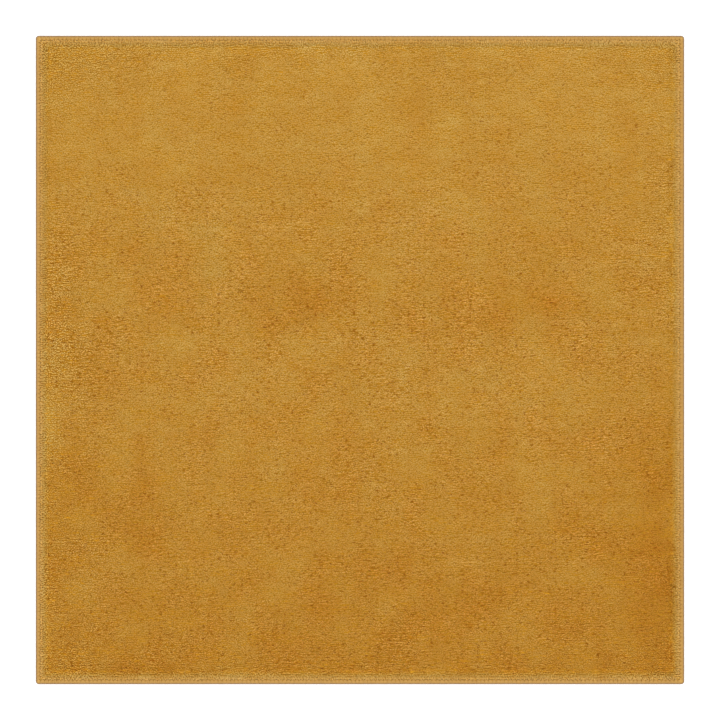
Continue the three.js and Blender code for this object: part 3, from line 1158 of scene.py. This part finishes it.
class RugEdgingSettings(bpy.types.PropertyGroup):
    stitch_pitch: a_length("Stitch pitch", "Distance between the needle's holes", 7.46 * MM, 3 * MM)
    pinch: a_share("Pinch", "How close the strands of a stitch come together at the needle's hole", 0.6)
    slant: a_length("Slant", "How far a strand runs along the edge while it wraps it", 2.5 * MM)
    yarn_colour: a_colour("Yarn", "Colour of the yarn on top", (0.378, 0.218, 0.058))
    # The outside colour is browner, and darker with painted shade where the edge turns down
    shaded_outer_colour: a_colour(
        "Outside", "Colour of the yarn round the outside of the edge", (0.19, 0.108, 0.055),
    )
    seed: IntProperty(name="Seed", description="Start of the edging's random numbers", default=31)


class RugStageSettings(bpy.types.PropertyGroup):
    floor_colour: a_colour("Floor", "Colour of the floor", (0.85, 0.85, 0.85))
    sky_strength: FloatProperty(
        name="Soft light", description="Strength of the light from all round", min=0, default=1.05,
    )
    key_strength: FloatProperty(
        name="Key light", description="Strength of the wide light from above", min=0, default=1.8,
    )
    lens: FloatProperty(
        name="Lens", description="The camera's focal length", subtype="DISTANCE_CAMERA",
        min=20, default=135,
    )


SETTINGS = {
    "rug_cloth": RugClothSettings,
    "rug_pile": RugPileSettings,
    "rug_edging": RugEdgingSettings,
    "rug_stage": RugStageSettings,
}


# The pile's settings that its recipe takes under their own names
PILE_SETTINGS = (
    "row_pitch", "lock_pitch", "lock_length", "lock_width", "clump_length", "clump_width",
    "pull", "dome", "evenness", "wave", "wave_length", "row_pull", "stray",
)
STRIP_SEEDS = 20


def named(settings, *names):
    """Those settings by the names of a recipe's inputs, such as Row pitch for row_pitch."""
    return {name.replace("_", " ").capitalize(): getattr(settings, name) for name in names}


class RUG_OT_set_stage(bpy.types.Operator):
    """Lays a plain pale floor, lights it softly and hangs the camera straight over the rug"""

    bl_idname = "rug.set_stage"
    bl_label = "Set the stage"

    FLOOR_SIDE = 8.0
    SHARE_OF_VIEW = 648.6 / 720
    KEY_SPREAD = math.radians(45)

    def execute(self, context):
        settings = context.scene.rug_stage
        self.lay_floor(settings)
        self.light(context, settings)
        self.hang_camera(context, settings)
        return {"FINISHED"}

    def lay_floor(self, settings):
        half = self.FLOOR_SIDE / 2
        corners = [(-half, -half, 0), (half, -half, 0), (half, half, 0), (-half, half, 0)]
        mesh = bpy.data.meshes.new("floor")
        mesh.from_pydata(corners, [], [(0, 1, 2, 3)])
        material, _, shader = new_material("pale_floor")
        shader.inputs["Base Color"].default_value = (*settings.floor_colour, 1)
        shader.inputs["Roughness"].default_value = 0.9
        shader.inputs["Specular IOR Level"].default_value = 0.0
        mesh.materials.append(material)
        new_object("floor", mesh)

    def light(self, context, settings):
        world = bpy.data.worlds.new("soft_light")
        world.use_nodes = True
        sky = world.node_tree.nodes["Background"]
        sky.inputs["Strength"].default_value = settings.sky_strength
        sky.inputs["Color"].default_value = (1, 1, 1, 1)
        context.scene.world = world
        key = bpy.data.lights.new("key_light", "SUN")
        key.energy = settings.key_strength
        key.angle = self.KEY_SPREAD
        new_object("key_light", key)
        context.scene.view_settings.view_transform = "Standard"

    def hang_camera(self, context, settings):
        lens = bpy.data.cameras.new("camera")
        lens.lens = settings.lens
        camera = new_object("camera", lens)
        view_side = RUG_SIDE / self.SHARE_OF_VIEW
        camera.location.z = EDGING_TOP / 2 + view_side * settings.lens / lens.sensor_width
        context.scene.camera = camera


class RUG_OT_lay_cloth(bpy.types.Operator):
    """Makes the base cloth with the dense foot of its pile"""

    bl_idname = "rug.lay_cloth"
    bl_label = "Lay the cloth"

    def execute(self, context):
        cloth = make_cloth()
        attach(cloth, BODY)
        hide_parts(PILE_SOLID)
        return {"FINISHED"}


class RUG_OT_wrap_edging(bpy.types.Operator):
    """Wraps the yarn edging round the cut edge of the cloth"""

    bl_idname = "rug.wrap_edging"
    bl_label = "Wrap the edging"

    def execute(self, context):
        settings = context.scene.rug_edging
        strand = make_strand()
        core = make_core()
        around = 4 * (RUG_SIDE - 2 * CORNER_RADIUS) + 2 * math.pi * CORNER_RADIUS
        count = STRANDS_A_STITCH * round(around / settings.stitch_pitch)
        inputs = {
            **named(settings, "pinch", "slant", "seed"),
            "Strand": strand,
            "Core": core,
            "Side": RUG_SIDE,
            "Corner radius": CORNER_RADIUS,
            "Strands": count,
            "Strand pitch": around / count,
            "Material": edging_material(),
        }
        edging = edging_recipe().make("edging_yarn", inputs)
        remove_template(strand)
        remove_template(core)
        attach(edging, BODY)
        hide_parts(EDGING_SOLID)
        return {"FINISHED"}


class RUG_OT_tuft_pile(bpy.types.Operator):
    bl_idname = "rug.tuft_pile"
    bl_label = "Tuft the pile"

    def execute(self, context):
        cloth = bpy.data.objects.get("rug_cloth")
        edging = bpy.data.objects.get("edging_yarn")
        if cloth is None or edging is None:
            raise RuntimeError("lay the cloth and wrap the edging first")
        settings = context.scene.rug_pile
        recipe = pile_recipe()
        lock = make_lock()
        material = pile_material()
        locks = int(FLAT_CUT / settings.lock_pitch)
        rows = math.ceil(FLAT_CUT / settings.row_pitch / STRIPS)
        strip_width = rows * settings.row_pitch
        for number in range(STRIPS):
            inputs = {
                **named(settings, *PILE_SETTINGS),
                "Cloth": cloth,
                "Lock": lock,
                "Rows": rows,
                "Locks a row": locks,
                "Strip middle": (number - (STRIPS - 1) / 2) * strip_width,
                "First row": number * rows,
                "First inset": PILE_INSET,
                "Seed": settings.seed + STRIP_SEEDS * number,
                "Material": material,
            }
            strip = recipe.make(f"pile_strip_{number + 1}", inputs)
            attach(strip, BODY)
        remove_template(lock)
        return {"FINISHED"}


OPERATORS = (RUG_OT_set_stage, RUG_OT_lay_cloth, RUG_OT_wrap_edging, RUG_OT_tuft_pile)


class RUG_PT_panel(bpy.types.Panel):
    """Lists the steps of dressing the rug and what they may change"""

    bl_idname = "RUG_PT_panel"
    bl_label = "Washable area rug"
    bl_space_type = "VIEW_3D"
    bl_region_type = "UI"
    bl_category = "Rug"

    def draw(self, context):
        for step in OPERATORS:
            self.layout.operator(step.bl_idname)
        for name, group in SETTINGS.items():
            box = self.layout.box()
            for setting in group.__annotations__:
                box.prop(getattr(context.scene, name), setting)


def register():
    for name, group in SETTINGS.items():
        bpy.utils.register_class(group)
        setattr(bpy.types.Scene, name, PointerProperty(type=group))
    for step in OPERATORS:
        bpy.utils.register_class(step)
    bpy.utils.register_class(RUG_PT_panel)


def unregister():
    bpy.utils.unregister_class(RUG_PT_panel)
    for step in reversed(OPERATORS):
        bpy.utils.unregister_class(step)
    for name, group in SETTINGS.items():
        delattr(bpy.types.Scene, name)
        bpy.utils.unregister_class(group)


def main():
    register()
    bpy.ops.rug.set_stage()
    bpy.ops.rug.lay_cloth()
    bpy.ops.rug.wrap_edging()
    bpy.ops.rug.tuft_pile()
    bpy.context.view_layer.update()


if __name__ == "__main__":
    main()
